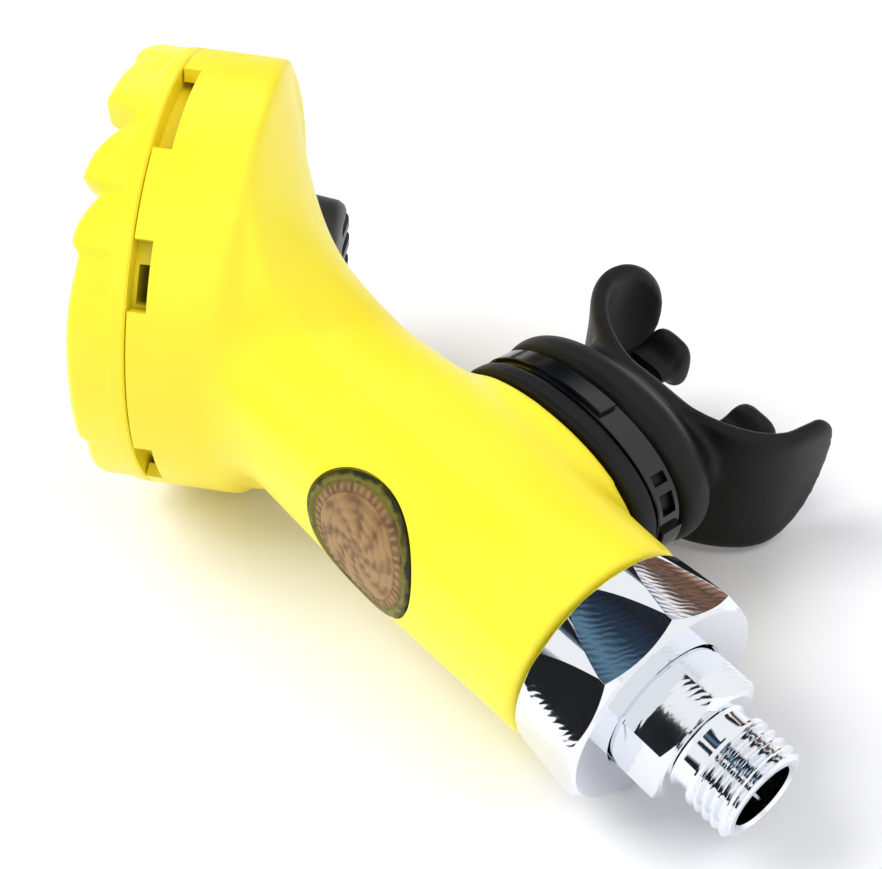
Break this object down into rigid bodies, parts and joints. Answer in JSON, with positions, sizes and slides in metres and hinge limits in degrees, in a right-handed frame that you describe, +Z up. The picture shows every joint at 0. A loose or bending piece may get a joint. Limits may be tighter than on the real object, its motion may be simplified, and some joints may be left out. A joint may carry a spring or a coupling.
{
  "type": "scuba regulator second stage",
  "caption": "Second stage of a scuba regulator: yellow diaphragm drum with toothed cover, round barrel, black rubber mouthpiece and chrome threaded inlet.",
  "frame": {"origin": "bottom centre of the bounding box of the part lying as pictured, on the drum's rim, the collar and the mouthpiece", "axes": "+Z up from the floor, +X along the barrel's projection towards the threaded inlet, +Y towards the mouthpiece side"},
  "size_m": [0.1616, 0.0926, 0.076],
  "materials": {
    "black_plastic": "moulded black, fine satin",
    "black_silicone": "soft black silicone, matt with a dull sheen",
    "brass": "turned brass",
    "chrome": "bright chrome plate over turned and milled brass",
    "clear_silicone": "translucent milky silicone",
    "copper": "aged copper-coloured metal relief, dull with green-black edge",
    "gloss_nylon": "black nylon strap, glossy",
    "steel": "stainless steel",
    "yellow_plastic": "smooth moulded yellow, satin"
  },
  "bodies": {
    "body": {"badge": "copper", "clamp_ring": "black_plastic", "collar": "chrome", "diaphragm": "clear_silicone", "exhaust_cover": "black_plastic", "front_cover": "yellow_plastic", "housing": "yellow_plastic", "inlet_fitting": "chrome", "mouthpiece": "black_silicone", "mouthpiece_tie": "gloss_nylon", "orifice": "brass", "purge_spring": "steel", "spring_bush": "brass", "valve_spring": "steel", "valve_tube": "brass"},
    "purge": {"purge_button": "black_plastic"},
    "plate": {"diaphragm_plate": "steel"},
    "lever": {"lever": "steel"},
    "poppet": {"poppet": "brass", "valve_seat": "black_silicone", "lever_nut": "steel"},
    "flap": {"exhaust_flap": "clear_silicone"}
  },
  "joints": [
    {"name": "purge_press", "type": "slide", "parent": "body", "child": "purge", "axis": [0.7092, 0.6746, -0.205], "range_m": [0, 0.003], "stiffness_N_per_m": 400, "springref_m": -0.002, "deforming": ["purge_spring"]},
    {"name": "diaphragm_travel", "type": "slide", "parent": "body", "child": "plate", "axis": [0.7092, 0.6746, -0.205], "range_m": [0, 0.003], "deforming": ["diaphragm"]},
    {"name": "lever_swing", "type": "hinge", "parent": "body", "child": "lever", "pos_m": [-0.02055, -0.00828, 0.03253], "axis": [-0.2036, -0.0824, -0.9756], "range_deg": [0, 11.75]},
    {"name": "poppet_slide", "type": "slide", "parent": "body", "child": "poppet", "axis": [-0.9789, 0, 0.2043], "range_m": [0, 0.00155], "deforming": ["valve_spring"]},
    {"name": "exhaust_lift", "type": "slide", "parent": "body", "child": "flap", "axis": [0.7092, 0.6746, -0.205], "range_m": [0, 0.001], "stiffness_N_per_m": 40, "springref_m": -0.001}
  ],
  "couplings": [
    {"joint": "diaphragm_travel", "follows": "purge_press", "ratio": 1},
    {"joint": "lever_swing", "follows": "purge_press", "rad_per_m": 68.299},
    {"joint": "poppet_slide", "follows": "purge_press", "ratio": 0.51661}
  ]
}
